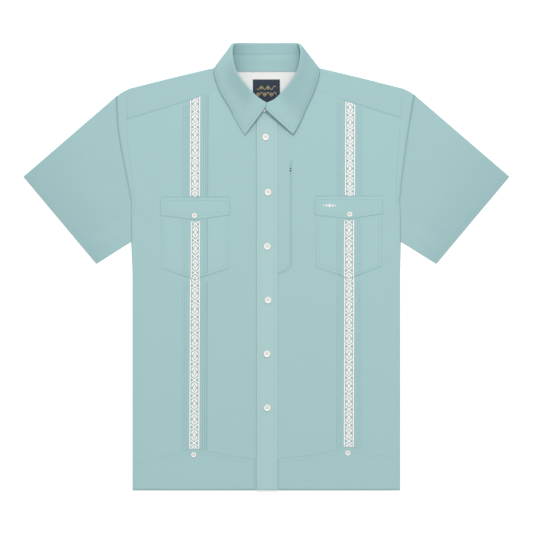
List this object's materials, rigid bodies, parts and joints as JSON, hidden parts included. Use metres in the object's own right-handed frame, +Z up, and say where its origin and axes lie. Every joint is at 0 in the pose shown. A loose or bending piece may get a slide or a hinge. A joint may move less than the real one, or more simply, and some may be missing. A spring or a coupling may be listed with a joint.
{
  "type": "guayabera_shirt",
  "caption": "Short-sleeved guayabera shirt laid flat: turned-down collar, buttoned placket, pintucks, two embroidered bands, flap pockets on both chests and hem panels",
  "frame": {"origin": "under the middle of the laid shirt, on the surface it lies on", "axes": "+X across the shirt, from the wearer's right sleeve to the left; +Y from the hem to the collar; +Z up, out of the front"},
  "size_m": [0.8746, 0.8049, 0.0222],
  "materials": {
    "body_cloth": "matt",
    "trim_cloth": "matt",
    "hem_cloth": "matt",
    "band_cloth": "matt",
    "lining_cloth": "matt",
    "label_cloth": "satin",
    "button_plastic": "gloss",
    "slider_metal": "satin"
  },
  "bodies": {
    "root": {"back_panel": "body_cloth", "yoke": "body_cloth", "yoke_lining": "lining_cloth", "neck_label": "label_cloth", "front_right": "body_cloth", "front_left": "body_cloth", "sleeve_right": "body_cloth", "sleeve_left": "body_cloth", "pocket_right": "trim_cloth", "pocket_left": "trim_cloth", "pocket_flap_right": "trim_cloth", "pocket_flap_left": "trim_cloth", "band_right_chest": "band_cloth", "band_right_pocket": "band_cloth", "band_right_skirt": "band_cloth", "band_left_chest": "band_cloth", "band_left_pocket": "band_cloth", "band_left_skirt": "band_cloth", "hem_panel_right": "hem_cloth", "hem_panel_left": "hem_cloth", "placket": "trim_cloth", "collar_leaf": "body_cloth", "collar_stand": "body_cloth", "placket_button_1": "button_plastic", "placket_button_2": "button_plastic", "placket_button_3": "button_plastic", "placket_button_4": "button_plastic", "placket_button_5": "button_plastic", "placket_button_6": "button_plastic", "flap_button_right": "button_plastic", "flap_button_left": "button_plastic", "hem_button_right": "button_plastic", "hem_button_left": "button_plastic", "collar_button": "button_plastic", "zip_slider": "slider_metal"}
  },
  "joints": []
}
